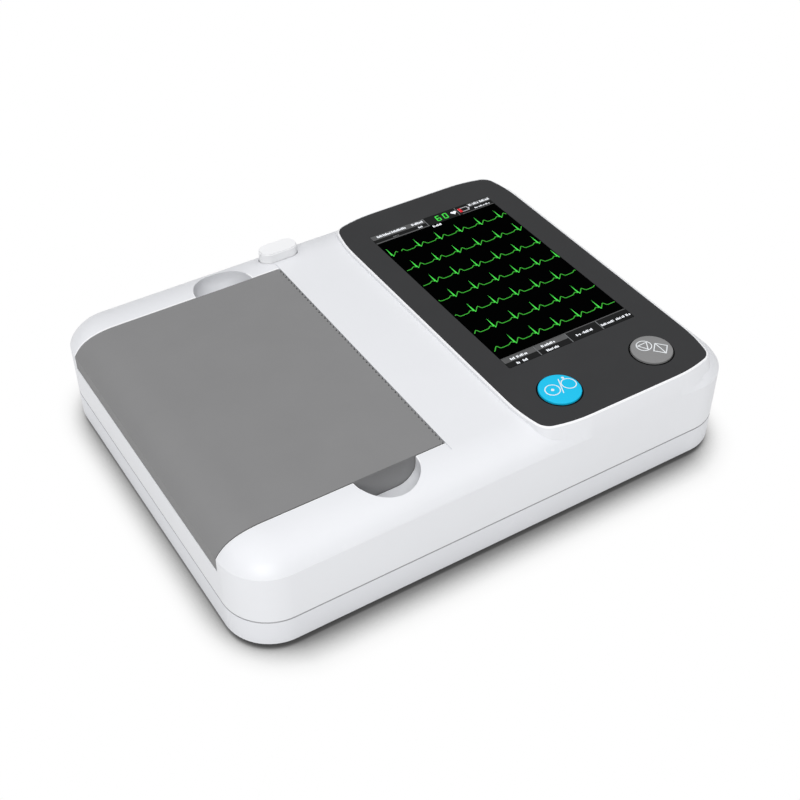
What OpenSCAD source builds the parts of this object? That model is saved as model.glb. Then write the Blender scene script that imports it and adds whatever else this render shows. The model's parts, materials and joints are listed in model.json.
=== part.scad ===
// Portable ECG recorder with a chart printer under the lid on the left and a touch display on the right.
// Millimetres. +X runs left to right along the front, +Y from the front to the back, +Z up.
// The origin is on the surface the recorder stands on, under the middle of the case.

/* [Case] */
// Width of the case, left to right
case_w = 256; // [254:1:260]
// Depth of the case, front to back
case_d = 196; // [194:1:200]
// Height of the flat top above the underside of the case
case_h = 49.5; // [49:0.5:51]
// Height of the feet under the case
foot_h = 2; // [2:0.5:4]
// Corner radius in plan; the crowned edge is a little narrower
corner_r = 22; // [21:0.5:23]
// Rise of the crowned edge
crown_h = 9.1; // [8.5:0.1:9.5]
// Height of the parting line above the underside of the case
parting_h = 15; // [14:0.5:16]
// Wall thickness of the two shells
wall = 2.5; // [2.2:0.1:2.8]

/* [Lid and paper] */
// Half the depth of the opening that the lid closes
lid_half = 74.6; // [74.4:0.1:75]
// Right edge of the lid
lid_right = -19; // [-19.4:0.1:-19]
// Gap round the lid
lid_gap = 0.4; // [0.3:0.1:0.5]
// How far the lid opens, in degrees
lid_open = 80; // [0:5:80]
// Tooth pitch of the tear edge
tear_pitch = 2.7; // [2.4:0.1:3.2]
// Radius of a full paper roll
roll_r = 19.5; // [14:0.5:19.5]
// Half the width of the paper
paper_half = 55; // [50:1:56]
// Radius of the rubber platen roller
platen_r = 6; // [5.5:0.1:6]

/* [Front panel] */
// Width of the fascia
fascia_w = 99.8; // [98:0.2:100]
// Depth of the fascia
fascia_d = 184.2; // [182:0.2:185]
// Tightest radius at the corners of the fascia
fascia_r = 7; // [6:0.5:9]
// Width of the display window
screen_w = 72.4; // [70:0.2:74]
// Depth of the display window
screen_d = 122.6; // [120:0.2:124]
// Radius of the two round buttons
button_r = 9.8; // [9:0.1:10.2]
// Distance between the two buttons
button_pitch = 52.4; // [48:0.4:56]
// Travel of the round buttons
button_travel = 0.6; // [0.4:0.1:0.6]
// Travel of the release button
release_travel = 2.5; // [2:0.1:2.5]

/* [Hidden] */
$fn = 96;
eps = 0.01;

// Heights above the surface that the feet stand on
base_z = foot_h;
floor_z = base_z + wall;
parting_z = base_z + parting_h;
top_z = base_z + case_h;
wall_top_z = top_z - crown_h;
crown_run = corner_r - 1;

// Plan of the fascia and what it carries
fascia_x = 67.5;
fascia_y = -2.1;
fascia_run = 26;
fascia_bow = 70;
fascia_gap = 0.15;
fascia_top_z = top_z + 1.6;
fascia_t = 1.15;
adhesive_t = 0.25;
pocket_z = fascia_top_z - fascia_t - adhesive_t;
hood_margin = 3.8;
hood_z = top_z + 1.7;
screen_y = 10.7;
button_y = -74.6;
button_rise = 1.5;
button_x = [fascia_x - button_pitch / 2, fascia_x + button_pitch / 2];
button_board_z = 38.4;
board_t = 1.6;
lcd_z = 45.5;

// Lid hinge
hinge_x = -case_w / 2 + 3.2;
hinge_z = 38.7;
barrel_r = 3.1;
lid_edge_z = hinge_z - 3.2;
hinge_pin_r = 1.25;
hinge_groove_r = 4.9;
lid_half_w = lid_half - lid_gap;
well_z = 34;
tear_teeth = floor(2 * lid_half_w / tear_pitch);

// Finger scoops beside the lid
scoop_x = -49.4;
scoop_r = 15.1;
scoop_fillet = 9;
scoop_z = top_z - 13.5;

// Release button
release_x = -14.2;
release_y = 85.35;
release_len = 20.1;
release_w = 9.7;
release_top_z = top_z + 5.1;
release_seat_z = 35;

// Printer: every shaft runs along Y
platen_x = -27.5;
platen_z = 41;
gear_y = -68.5;
gear_w = 4;
tooth_module = 1;
platen_teeth = 14;
idler_teeth = 16;
pinion_teeth = 8;
idler_dir = -40;
pinion_dir = -60;
idler_x = platen_x + (platen_teeth + idler_teeth) / 2 * cos(idler_dir);
idler_z = platen_z + (platen_teeth + idler_teeth) / 2 * sin(idler_dir);
pinion_x = idler_x + (idler_teeth + pinion_teeth) / 2 * cos(pinion_dir);
pinion_z = idler_z + (idler_teeth + pinion_teeth) / 2 * sin(pinion_dir);
latch_x = -23;
latch_z = 26;
hook_y = 62.6;
hook_t = 2.5;
chassis_half = 60;
head_top_z = platen_z - platen_r - 0.15;
head_spring_y = [-40, 0, 40];
head_ribbon_y = 22;
head_ribbon_w = 19;
head_socket_h = 2.2;

// Paper
roll_x = -80;
roll_z = 27;
core_r = 8;
tray_half = 62.5;
tray_left = -115.5;
tray_right = -40.5;
tray_z = floor_z + 1;

// Fixings
post_xy = [[-110, -80], [110, -80], [-110, 80], [110, 80], [5, -88], [5, 88]];
foot_xy = [[-104, -62], [104, -62], [-104, 62], [104, 62]];
main_board_screw_xy = [[26, 8], [98, 8], [26, 87], [92, 62]];
chassis_screw_xy = [[-36, -50], [-5, -50], [-36, 50], [-5, 50]];

// Battery bay
bay_x = [23, 95];
bay_y = [-89, -3];
bay_z = 25;
door_screw_xy = [[30, -7], [88, -7]];

// Rear and side sockets
inlet_x = -91;
inlet_z = 29;
stud_x = -62;
stud_z = 26;
main_board_z = 23;
network_x = 63;
usb_x = 38;
patient_y = 34;
patient_z = 31;

// ---- Helpers ----

// A box from its lowest corner to its highest corner
module block(lo, hi) {
    translate(lo)
        cube(hi - lo);
}

// A cylinder along Y between two Y values
module rod_y(r, x, z, y0, y1) {
    translate([x, y1, z])
        rotate([90, 0, 0])
            cylinder(r = r, h = y1 - y0);
}

// A cylinder along Z
module post(r, xy, z0, z1) {
    translate([xy[0], xy[1], z0])
        cylinder(r = r, h = z1 - z0);
}

// A rectangle with round corners, centred
module rounded_rect(w, d, r) {
    square([w - 2 * r, d], center = true);
    square([w, d - 2 * r], center = true);
    for (sx = [-1, 1], sy = [-1, 1])
        translate([sx * (w / 2 - r), sy * (d / 2 - r)])
            circle(r);
}

// A plate with round corners between two heights
module plate(w, d, r, z0, z1) {
    translate([0, 0, z0])
        linear_extrude(z1 - z0)
            rounded_rect(w, d, r);
}

// A symmetric section from one side's points, each [distance in from the wall, height]
function section(half, side) = concat(
    [for (p = side) [half - p[0], p[1]]],
    [for (i = [len(side) - 1:-1:0]) [side[i][0] - half, side[i][1]]]);

// A block with round corners in plan, whose four sides all follow the same profile
module profiled_block(w, d, r, side) {
    last = len(side) - 1;
    rim = [for (p = side) if (p[0] < r - eps) [r - p[0], p[1]]];
    corner = concat([[0, side[0][1]]], rim, [[0, side[last][1]]]);
    rotate([90, 0, 90])
        linear_extrude(w - 2 * r, center = true)
            polygon(section(d / 2, side));
    rotate([90, 0, 0])
        linear_extrude(d - 2 * r, center = true)
            polygon(section(w / 2, side));
    for (k = [0:3])
        translate([(k == 0 || k == 3 ? 1 : -1) * (w / 2 - r), (k < 2 ? 1 : -1) * (d / 2 - r), 0])
            rotate([0, 0, 90 * k])
                rotate_extrude(angle = 90)
                    polygon(corner);
}

// Outline of the fascia grown by an amount: straight sides, then wide bows into tight corners
function fascia_outline(grow) = let (
    half = [fascia_w / 2, fascia_d / 2],
    reach = fascia_bow + fascia_run,
    bow_in = fascia_bow - fascia_r,
    tight = (reach - sqrt(2 * bow_in * bow_in - pow(fascia_bow - fascia_run, 2))) / 2,
    turn = atan((fascia_run - tight) / (fascia_bow - tight)),
    arc = function (centre, r, from, to, i, steps)
        centre + (r + grow) * [cos(from + (to - from) * i / steps), sin(from + (to - from) * i / steps)],
    near = [tight - fascia_bow, tight - fascia_run],
    corner = concat(
        [for (i = [0:4]) arc(near, fascia_bow, 0, turn, i, 4)],
        [for (i = [1:8]) arc([0, 0], fascia_r, turn, 90 - turn, i, 8)],
        [for (i = [1:4]) arc([near[1], near[0]], fascia_bow, 90 - turn, 90, i, 4)]))
    [for (k = [0:3], p = corner)
        [(k == 0 || k == 3 ? 1 : -1) * (half[0] - tight) + p[0] * cos(90 * k) - p[1] * sin(90 * k),
            (k < 2 ? 1 : -1) * (half[1] - tight) + p[0] * sin(90 * k) + p[1] * cos(90 * k)]];

// A plate on the fascia's outline grown by an amount
module fascia_plate(grow, z0, z1) {
    translate([fascia_x, fascia_y, z0])
        linear_extrude(z1 - z0)
            polygon(fascia_outline(grow));
}

// The crowned edge: a crease at the wall, a steep start, and a long level run-out
function crown(z, rise, run, steps = 14) =
    [for (i = [0:steps]) let (t = pow(i / steps, 1.4))
        [run * t, z + rise * (0.45 * (1 - pow(1 - t, 6)) + 0.55 * (1 - pow(1 - t, 2)))]];

// A helical spring standing on z0, as one swept tube
module coil_spring(r, wire, turns, z0, z1) {
    sides = 6;
    rings = turns * 14;
    function centre(i) = let (a = 360 * turns * i / rings)
        [r * cos(a), r * sin(a), z0 + wire + (z1 - z0 - 2 * wire) * i / rings];
    function ring(i) = let (a = 360 * turns * i / rings)
        [for (k = [0:sides - 1]) let (b = 360 * k / sides)
            centre(i) + wire * [cos(b) * cos(a), cos(b) * sin(a), sin(b)]];
    points = [for (i = [0:rings], p = ring(i)) p];
    walls = [for (i = [0:rings - 1], k = [0:sides - 1])
        [i * sides + k, i * sides + (k + 1) % sides, (i + 1) * sides + (k + 1) % sides, (i + 1) * sides + k]];
    ends = [[for (k = [sides - 1:-1:0]) k], [for (k = [0:sides - 1]) rings * sides + k]];
    polyhedron(points, concat(walls, ends), convexity = 8);
}

// A spur gear in the XY plane with slim straight-sided teeth; the first tooth points along "first" degrees
module gear_outline(teeth, first) {
    pitch_r = teeth * tooth_module / 2;
    root_r = pitch_r - 1.2 * tooth_module;
    tip_r = pitch_r + 0.85 * tooth_module;
    circle(root_r);
    for (i = [0:teeth - 1])
        rotate(first + 360 * i / teeth)
            polygon([[root_r - 0.5, -0.95], [pitch_r, -0.62], [tip_r, -0.26], [tip_r, 0.26], [pitch_r, 0.62],
                [root_r - 0.5, 0.95]] * tooth_module);
}

// A gear on a shaft along Y, with a bore
module gear_y(teeth, first, x, z, bore_r) {
    translate([x, gear_y + gear_w / 2, z])
        rotate([90, 0, 0])
            linear_extrude(gear_w)
                difference() {
                    gear_outline(teeth, first);
                    circle(bore_r);
                }
}

// A pan-head screw pointing up, its head below z0
module screw_up(xy, z0, length, r, head_r, head_h) {
    post(r, xy, z0, z0 + length);
    difference() {
        post(head_r, xy, z0 - head_h, z0);
        post(head_r / 2, xy, z0 - head_h - eps, z0 - head_h / 2, $fn = 6);
    }
}

// A stadium along X
module stadium(length, width) {
    square([length - width, width], center = true);
    for (s = [-1, 1])
        translate([s * (length - width) / 2, 0])
            circle(width / 2);
}

// ---- Case ----

function outer_crown() = crown(wall_top_z, crown_h, crown_run);

function inner_crown() = crown(wall_top_z - 1, crown_h - wall + 1, crown_run - wall);

module upper_outside() {
    side = concat([[0.4, parting_z], [0, parting_z + 0.4]], outer_crown());
    profiled_block(case_w, case_d, corner_r, side);
}

module upper_inside() {
    side = concat([[0, parting_z - 1]], inner_crown());
    profiled_block(case_w - 2 * wall, case_d - 2 * wall, corner_r - wall, side);
}

// The raised surround of the fascia, steep all round and chamfered at its rim
module hood() {
    side = [[0, wall_top_z], [2.8, hood_z - 0.6], [3.3, hood_z]];
    count = len(fascia_outline(0));
    points = [for (p = side, q = fascia_outline(hood_margin - p[0])) [q[0], q[1], p[1]]];
    sides = [for (j = [0:len(side) - 2], i = [0:count - 1])
        [j * count + i, (j + 1) * count + i, (j + 1) * count + (i + 1) % count, j * count + (i + 1) % count]];
    floor_face = [for (i = [0:count - 1]) i];
    top_face = [for (i = [count - 1:-1:0]) (len(side) - 1) * count + i];
    difference() {
        translate([fascia_x, fascia_y, 0])
            polyhedron(points, concat(sides, [floor_face, top_face]));
        fascia_plate(hood_margin - 4.3, wall_top_z - 1, top_z - wall);
    }
}

// Walls of the well under the lid, and the walls of the two finger scoops
module well_walls() {
    block([-case_w / 2, -lid_half - 2, well_z - 2], [lid_right + 2, lid_half + 2, top_z + 1]);
    for (s = [-1, 1]) {
        post(scoop_r + 2, [scoop_x, s * lid_half], scoop_z - 2, top_z + 1);
        block([-case_w / 2, s > 0 ? lid_half : -lid_half - 7, well_z - 2],
            [hinge_x + 6, s > 0 ? lid_half + 7 : -lid_half, hinge_z + 6]);
    }
}

// Everything the lid, its hinge and the printer need open
module well_space() {
    front = -lid_half;
    block([hinge_x + 5, front, well_z], [lid_right, lid_half, top_z + 2]);
    block([-case_w / 2 - 1, front, hinge_z - 3.7], [hinge_x + 6, lid_half, top_z + 2]);
    rod_y(hinge_groove_r, hinge_x, hinge_z, front, lid_half);
    rod_y(hinge_pin_r + 0.01, hinge_x, hinge_z, front - 5.5, lid_half + 5.5);
    block([tray_left - 0.5, -tray_half - 0.5, well_z - 3], [tray_right + 1, tray_half + 0.5, well_z + 1]);
    block([tray_right, front, well_z - 3], [lid_right + 3, lid_half, top_z - 7.5]);
    for (s = [-1, 1])
        block([lid_right - 1, s > 0 ? hook_y - 0.5 : -hook_y - hook_t - 0.5, well_z],
            [lid_right + 6, s > 0 ? hook_y + hook_t + 0.5 : -hook_y + 0.5, top_z - 4]);
}

// The hollow of a finger scoop: upright at the rim, with a wide fillet down to a level floor
module finger_bowl() {
    rotate_extrude()
        polygon(concat([[0, scoop_z]],
            [for (i = [0:10]) let (a = 9 * i)
                [scoop_r - scoop_fillet + scoop_fillet * sin(a), scoop_z + scoop_fillet * (1 - cos(a))]],
            [[scoop_r, top_z + 2], [0, top_z + 2]]));
}

module button_board_posts() {
    for (xy = [[33, -61], [101, -61], [67, -88]])
        post(2.6, xy, button_board_z + board_t, top_z - wall + 0.5);
}

module upper_case() {
    color("#eceef2")
    difference() {
        union() {
            difference() {
                upper_outside();
                upper_inside();
            }
            hood();
            intersection() {
                upper_outside();
                union() {
                    well_walls();
                    button_board_posts();
                    for (xy = post_xy)
                        post(4, xy, parting_z, top_z - 3);
                    block([release_x - 10, lid_half + 1, release_seat_z - 2], [release_x + 10, case_d / 2 - 1,
                        release_seat_z]);
                    rod_y(8, stud_x, stud_z, case_d / 2 - 12, case_d / 2 - 1);
                }
            }
        }
        well_space();
        for (s = [-1, 1])
            translate([scoop_x, s * lid_half, 0])
                finger_bowl();
        for (s = [-1, 1])
            block([lid_right - 0.4, s > 0 ? lid_half - 1 : -lid_half - 5, top_z - 0.4],
                [lid_right, s > 0 ? lid_half + 5 : -lid_half + 1, top_z + 1]);
        fascia_plate(fascia_gap, pocket_z, hood_z + 1);
        translate([fascia_x, screen_y, 0])
            plate(screen_w + 3.6, screen_d + 3.6, 1, wall_top_z, hood_z + 1);
        for (x = button_x) {
            post(button_r + 0.6, [x, button_y], button_board_z + 7, hood_z + 1);
            post(button_r + 2, [x, button_y], button_board_z, top_z - wall - 1.4);
        }
        translate([release_x, release_y, 41.5])
            linear_extrude(20)
                stadium(release_len + 0.8, release_w + 0.8);
        translate([release_x, release_y, 38])
            linear_extrude(top_z - 44.5)
                stadium(release_len + 3.4, release_w + 3.4);
        post(2.2, [release_x, release_y], release_seat_z - 3, release_seat_z + 1);
        for (xy = post_xy)
            post(1.25, xy, parting_z - 1, parting_z + 14);
        for (xy = [[33, -61], [101, -61], [67, -88]])
            post(0.95, xy, button_board_z, button_board_z + board_t + 6);
        rod_y(6.5, stud_x, stud_z, case_d / 2 - 10, case_d / 2 + 1);
        rod_y(2.05, stud_x, stud_z, case_d / 2 - 13, case_d / 2);
        block([inlet_x - 14.2, case_d / 2 - 4, inlet_z - 10.7],
            [inlet_x + 14.2, case_d / 2 + 1, inlet_z + 10.7]);
        block([network_x - 8.3, case_d / 2 - 4, main_board_z + board_t - 0.3],
            [network_x + 8.3, case_d / 2 + 1, main_board_z + board_t + 13.9]);
        block([usb_x - 7, case_d / 2 - 4, main_board_z + board_t - 0.3],
            [usb_x + 7, case_d / 2 + 1, main_board_z + board_t + 6.6]);
        block([case_w / 2 - 4, patient_y - 20, patient_z - 6.5],
            [case_w / 2 + 1, patient_y + 20, patient_z + 6.5]);
    }
}

// The lower shell with posts, battery bay and speaker grille
module lower_case() {
    side = [[1.6, base_z], [0, base_z + 1.6], [0, parting_z - 0.4], [0.4, parting_z]];
    color("#e6e8ec")
    difference() {
        union() {
            difference() {
                profiled_block(case_w, case_d, corner_r, side);
                plate(case_w - 2 * wall, case_d - 2 * wall, corner_r - wall, floor_z, parting_z + 1);
            }
            for (xy = post_xy)
                post(4, xy, base_z + 0.5, parting_z);
            for (xy = main_board_screw_xy)
                post(3.2, xy, floor_z - 1, main_board_z);
            for (xy = chassis_screw_xy)
                post(3.2, xy, floor_z - 1, 8);
            block([bay_x[0] - 1.8, bay_y[0] - 1.8, base_z + 0.5],
                [bay_x[1] + 1.8, bay_y[1] + 1.8, bay_z + 1.5]);
            for (x = [-98, -38], y = [71, 90])
                post(2.6, [x, y], floor_z - 1, 10);
        }
        for (xy = post_xy) {
            post(1.6, xy, base_z - 1, parting_z + 1);
            post(3.3, xy, base_z - 1, base_z + 3);
        }
        for (xy = main_board_screw_xy)
            post(1.05, xy, main_board_z - 8, main_board_z + 1);
        for (xy = chassis_screw_xy)
            post(1.05, xy, base_z + 1, 9);
        difference() {
            block([bay_x[0], bay_y[0], base_z - 1], [bay_x[1], bay_y[1], bay_z]);
            for (xy = door_screw_xy)
                post(3, xy, floor_z, bay_z + 1);
        }
        for (xy = door_screw_xy)
            post(1.05, xy, floor_z - 1, floor_z + 10);
        for (xy = foot_xy)
            post(7.1, xy, base_z - 1, base_z + 1);
        for (x = [-98, -38], y = [71, 90])
            post(0.95, [x, y], floor_z, 11);
        for (x = [-10:5:10], y = [-10:5:10])
            if (x * x + y * y < 130)
                post(1.2, [x - 75, y - 80], base_z - 1, floor_z + 1);
    }
}

module feet() {
    color("#3a3a3c")
        for (xy = foot_xy)
            translate([xy[0], xy[1], 0])
                rotate_extrude()
                    polygon([[0, 0], [6.2, 0], [7, 0.8], [7, base_z + 1], [0, base_z + 1]]);
}

module case_screws() {
    color("#b9bcc0")
        for (xy = post_xy)
            screw_up(xy, base_z + 3, parting_z + 8 - base_z, 1.2, 2.9, 1.9, $fn = 32);
}

// ---- Front panel ----

module fascia_panel() {
    color("#3a3b3e")
    difference() {
        fascia_plate(0, fascia_top_z - fascia_t, fascia_top_z);
        translate([fascia_x, screen_y, 0])
            plate(screen_w, screen_d, 0.6, pocket_z - 1, fascia_top_z + 1);
        for (x = button_x)
            post(button_r + 0.5, [x, button_y], pocket_z - 1, fascia_top_z + 1);
    }
}

// Double-sided film frame that holds the fascia in its pocket
module fascia_adhesive() {
    z = pocket_z;
    color("#1c1c1e")
    difference() {
        fascia_plate(-1.5, z, z + adhesive_t);
        translate([fascia_x, screen_y, 0])
            plate(screen_w + 6, screen_d + 6, 1, z - 1, z + 1);
        for (x = button_x)
            post(button_r + 2, [x, button_y], z - 1, z + 1);
    }
}

module touch_glass() {
    color("#0a0b0c")
        translate([fascia_x, screen_y, 0])
            plate(screen_w - 0.2, screen_d - 0.2, 0.5, pocket_z + 0.1, fascia_top_z - 0.1);
}

module lcd_module() {
    color("#2a2c30")
        translate([fascia_x, screen_y, 0]) {
            plate(screen_w + 6, screen_d + 7, 1, lcd_z, top_z - wall - 0.1);
            plate(screen_w + 2, screen_d + 2, 0.5, top_z - wall - 0.2, pocket_z);
        }
}

// Steel plate behind the display, hung from the upper case on four lugs
module lcd_bracket() {
    z0 = lcd_z - 1.1;
    color("#9a9da1")
    difference() {
        translate([fascia_x, screen_y, 0])
            plate(screen_w + 16, screen_d + 9, 3, z0, lcd_z - 0.1);
        block([38, 17, z0 - 1], [62, 22, lcd_z + 1]);
        for (sx = [-1, 1], sy = [-1, 1])
            post(1.2, [fascia_x + sx * (screen_w / 2 + 5.5), screen_y + sy * 50], z0 - 1, lcd_z + 1);
    }
}

// Flat ribbon from the display down to the main board, folded once at each end
module lcd_ribbon() {
    z0 = main_board_z + board_t + 2;
    z1 = lcd_z - 0.05;
    color("#c8803a")
        translate([40, 0, 0])
            rotate([90, 0, 90])
                linear_extrude(20)
                    polygon([[14, z0], [19.7, z0], [19.7, z1], [20, z1], [20, z0 - 0.3], [14, z0 - 0.3]]);
}

// A round button: crowned cap, skirt under the panel, and a stem over its switch
module round_button(x) {
    top = fascia_top_z + button_rise;
    under = top_z - wall - 1.5;
    translate([x, button_y, 0])
        rotate_extrude()
            polygon(concat([[0, 43.1], [3.6, 43.1], [3.6, 45.4], [button_r + 1.4, 45.4],
                [button_r + 1.4, under], [button_r, under]],
                [for (i = [0:5]) let (a = 15 * i) [button_r - 0.5 + 0.5 * cos(a), top - 0.9 + 0.5 * sin(a)]],
                [for (i = [6:-1:0]) [(button_r - 0.6) * i / 6, top - 0.36 * pow(i / 6, 2)]]));
}

module start_button() {
    color("#2fb3e6")
        round_button(button_x[0]);
}

module power_button() {
    color("#8f9092")
        round_button(button_x[1]);
}

module button_spring(x) {
    color("#c9ccd0")
        translate([x, button_y, 0])
            coil_spring(5.3, 0.25, 3, button_board_z + board_t, 45.4);
}

module start_spring() {
    button_spring(button_x[0]);
}

module power_spring() {
    button_spring(button_x[1]);
}

module button_board() {
    color("#1f6b3a")
    difference() {
        translate([fascia_x, -74.5, 0])
            plate(77, 30.5, 3, button_board_z, button_board_z + board_t);
        for (xy = [[33, -61], [101, -61], [67, -88]])
            post(1.1, xy, button_board_z - 1, button_board_z + board_t + 1);
    }
}

module key_switches() {
    z = button_board_z + board_t;
    color("#26272a")
        for (x = button_x) {
            block([x - 3, button_y - 3, z], [x + 3, button_y + 3, z + 2]);
            post(1.7, [x, button_y], z + 1.9, z + 2.4);
        }
}

// ---- Lid ----

// The lid's section: flat top, crowned end and the short wall that hangs outside the hinge
function lid_section() = let (
    outer = [for (p = outer_crown()) [p[0] - case_w / 2, p[1]]],
    inner = [for (p = inner_crown()) [p[0] + wall - case_w / 2, p[1]]])
    concat([[-case_w / 2, lid_edge_z]], outer, [[lid_right - 1.6, top_z], [lid_right - 1.6, top_z - wall]],
        [for (i = [len(inner) - 1:-1:0]) inner[i]], [[wall - case_w / 2, lid_edge_z]]);

// The web that closes each end of the lid, with its top edge inside the skin
function lid_web() = concat([[lid_right - 2.4, hinge_z - 1.7], [wall - case_w / 2 - 0.3, hinge_z - 1.7]],
    [for (p = inner_crown()) [p[0] + wall - case_w / 2 - 0.3, p[1] + 0.5]],
    [[lid_right - 2.4, top_z - wall + 0.5]]);

// Teeth of the tear edge, seen from above
function tear_outline() = concat([[lid_right - 2.4, -lid_half_w]],
    [for (i = [0:tear_teeth - 1], k = [0:2])
        [lid_right - 0.1 - (k == 1 ? 0 : 1.3),
            -lid_half_w + (i + k * 0.45 + 0.05) * 2 * lid_half_w / tear_teeth]],
    [[lid_right - 2.4, lid_half_w]]);

module paper_lid() {
    color("#848587")
    difference() {
        union() {
            rotate([90, 0, 0])
                linear_extrude(2 * lid_half_w, center = true)
                    polygon(lid_section());
            rod_y(barrel_r, hinge_x, hinge_z, -lid_half_w, lid_half_w);
            translate([0, 0, top_z - 1.6])
                linear_extrude(1.6)
                    polygon(tear_outline());
            for (s = [-1, 1])
                translate([0, s * (lid_half_w - 1), 0])
                    rotate([90, 0, 0])
                        linear_extrude(2, center = true)
                            polygon(lid_web());
        }
        for (s = [-1, 1])
            rod_y(hinge_pin_r + 0.05, hinge_x, hinge_z, s > 0 ? lid_half_w - 8.5 : -lid_half_w - 1,
                s > 0 ? lid_half_w + 1 : -lid_half_w + 8.5);
    }
}

module hinge_pins() {
    color("#b9bcc0")
        for (s = [-1, 1])
            rod_y(hinge_pin_r, hinge_x, hinge_z, s > 0 ? lid_half_w - 8 : -lid_half - 5.4,
                s > 0 ? lid_half + 5.4 : -lid_half_w + 8, $fn = 48);
}

// Pressed steel channel under the lid's free edge; its ends carry the platen
module platen_bracket() {
    under = top_z - wall;
    color("#a7aaae")
    difference() {
        union() {
            block([platen_x - 8.5, -62.1, under - 1.5], [platen_x + 6, 62.1, under]);
            for (s = [-1, 1])
                block([platen_x - 5.5, s > 0 ? 60.6 : -62.1, platen_z - 4.8],
                    [platen_x + 5, s > 0 ? 62.1 : -60.6, under - 1]);
        }
        rod_y(3.5, platen_x, platen_z, -63, 63);
    }
}

module platen_bushes() {
    color("#e8e2cf")
        for (s = [-1, 1])
            difference() {
                union() {
                    rod_y(3.48, platen_x, platen_z, s > 0 ? 60.4 : -62.2, s > 0 ? 62.2 : -60.4);
                    rod_y(4.3, platen_x, platen_z, s > 0 ? 60.1 : -60.5, s > 0 ? 60.5 : -60.1);
                }
                rod_y(2.04, platen_x, platen_z, -70, 70);
            }
}

module platen_shaft() {
    color("#c4c7cb")
        rod_y(2, platen_x, platen_z, gear_y - gear_w / 2 - 0.5, 66, $fn = 48);
}

module platen_roller() {
    color("#2b2b2d")
    difference() {
        rod_y(platen_r, platen_x, platen_z, -paper_half - 1, paper_half + 1);
        rod_y(2, platen_x, platen_z, -60, 60);
    }
}

module platen_gear() {
    color("#e9e6dc")
        gear_y(platen_teeth, idler_dir + 180 / platen_teeth, platen_x, platen_z, 2);
}

// ---- Printer ----

// Folded steel frame: base, two side plates and the rail under the head springs
module printer_chassis() {
    y1 = chassis_half;
    color("#a2a5a9")
    difference() {
        union() {
            block([-40, -y1, 8], [0, y1, 9.5]);
            for (s = [-1, 1])
                block([-40, s > 0 ? y1 - 2 : -y1, 8], [0, s > 0 ? y1 : -y1 + 2, 36.6]);
            block([-36, -y1 + 1, 21], [-27, y1 - 1, 23]);
        }
        rod_y(2.05, latch_x, latch_z, -y1 - 1, y1 + 1);
        rod_y(1.5, idler_x, idler_z, -y1 - 1, -y1 + 3);
        rod_y(3.1, pinion_x, pinion_z, -y1 - 1, -y1 + 3);
        for (xy = chassis_screw_xy)
            post(1.4, xy, 7, 10);
    }
}

module print_head() {
    color("#d9d6cf")
    union() {
        block([platen_x - 9.5, -57, head_top_z - 1.5], [platen_x + 7.5, 57, head_top_z - 0.3]);
        block([platen_x - 2, -55, head_top_z - 0.4], [platen_x + 2, 55, head_top_z]);
    }
}

// Ribbed aluminium bar that the head is glued to
module head_heat_sink() {
    z1 = head_top_z - 1.5;
    color("#bfc3c8")
    difference() {
        block([platen_x - 8.5, -57.5, 29.5], [platen_x + 7, 57.5, z1]);
        for (x = [platen_x + 1.4, platen_x + 3.6])
            block([x, -58, 29], [x + 1.2, 58, z1 - 1.4]);
    }
}

module head_springs() {
    color("#c9ccd0")
        for (y = head_spring_y)
            translate([platen_x - 3.5, y, 0])
                coil_spring(2.4, 0.3, 4, 23, 29.5);
}

// Flat ribbon from beside the head to the main board
module head_ribbon() {
    z0 = main_board_z + board_t + head_socket_h;
    color("#c8803a")
        translate([0, head_ribbon_y, 0])
            rotate([90, 0, 0])
                linear_extrude(head_ribbon_w, center = true)
                    polygon([[-18, 31.3], [-8, 28.6], [23.8, 28.6], [23.8, z0], [24.1, z0], [24.1, 28.9],
                        [-8, 28.9], [-18, 31.6]]);
}

module idler_pin() {
    color("#c4c7cb")
    union() {
        rod_y(1.48, idler_x, idler_z, gear_y - gear_w / 2 - 1, -chassis_half + 2, $fn = 48);
        rod_y(2.6, idler_x, idler_z, gear_y - gear_w / 2 - 1, gear_y - gear_w / 2 - 0.2, $fn = 48);
    }
}

module idler_gear() {
    color("#e9e6dc")
        gear_y(idler_teeth, 180 + idler_dir, idler_x, idler_z, 1.54);
}

// Can, mounting ears and the front bearing of the stepper motor
module stepper_motor() {
    y1 = -chassis_half + 2;
    color("#8d9094")
    difference() {
        union() {
            rod_y(10, pinion_x, pinion_z, y1 + 0.8, y1 + 19);
            rod_y(3, pinion_x, pinion_z, y1 - 1.5, y1 + 1);
            block([pinion_x - 10, y1, pinion_z - 4], [pinion_x + 14, y1 + 0.8, pinion_z + 4]);
        }
        rod_y(1.05, pinion_x, pinion_z, y1 - 3, y1 + 8);
    }
}

module motor_pinion() {
    mesh = idler_teeth / pinion_teeth * (180 + idler_dir - pinion_dir);
    color("#d8b25a")
    union() {
        rod_y(1, pinion_x, pinion_z, gear_y - gear_w / 2, -chassis_half + 9, $fn = 32);
        gear_y(pinion_teeth, 180 + pinion_dir + 180 / pinion_teeth - mesh, pinion_x, pinion_z, 0.98);
    }
}

// ---- Latch ----

module latch_shaft() {
    color("#c4c7cb")
        rod_y(2, latch_x, latch_z, -65.4, 88, $fn = 48);
}

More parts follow.
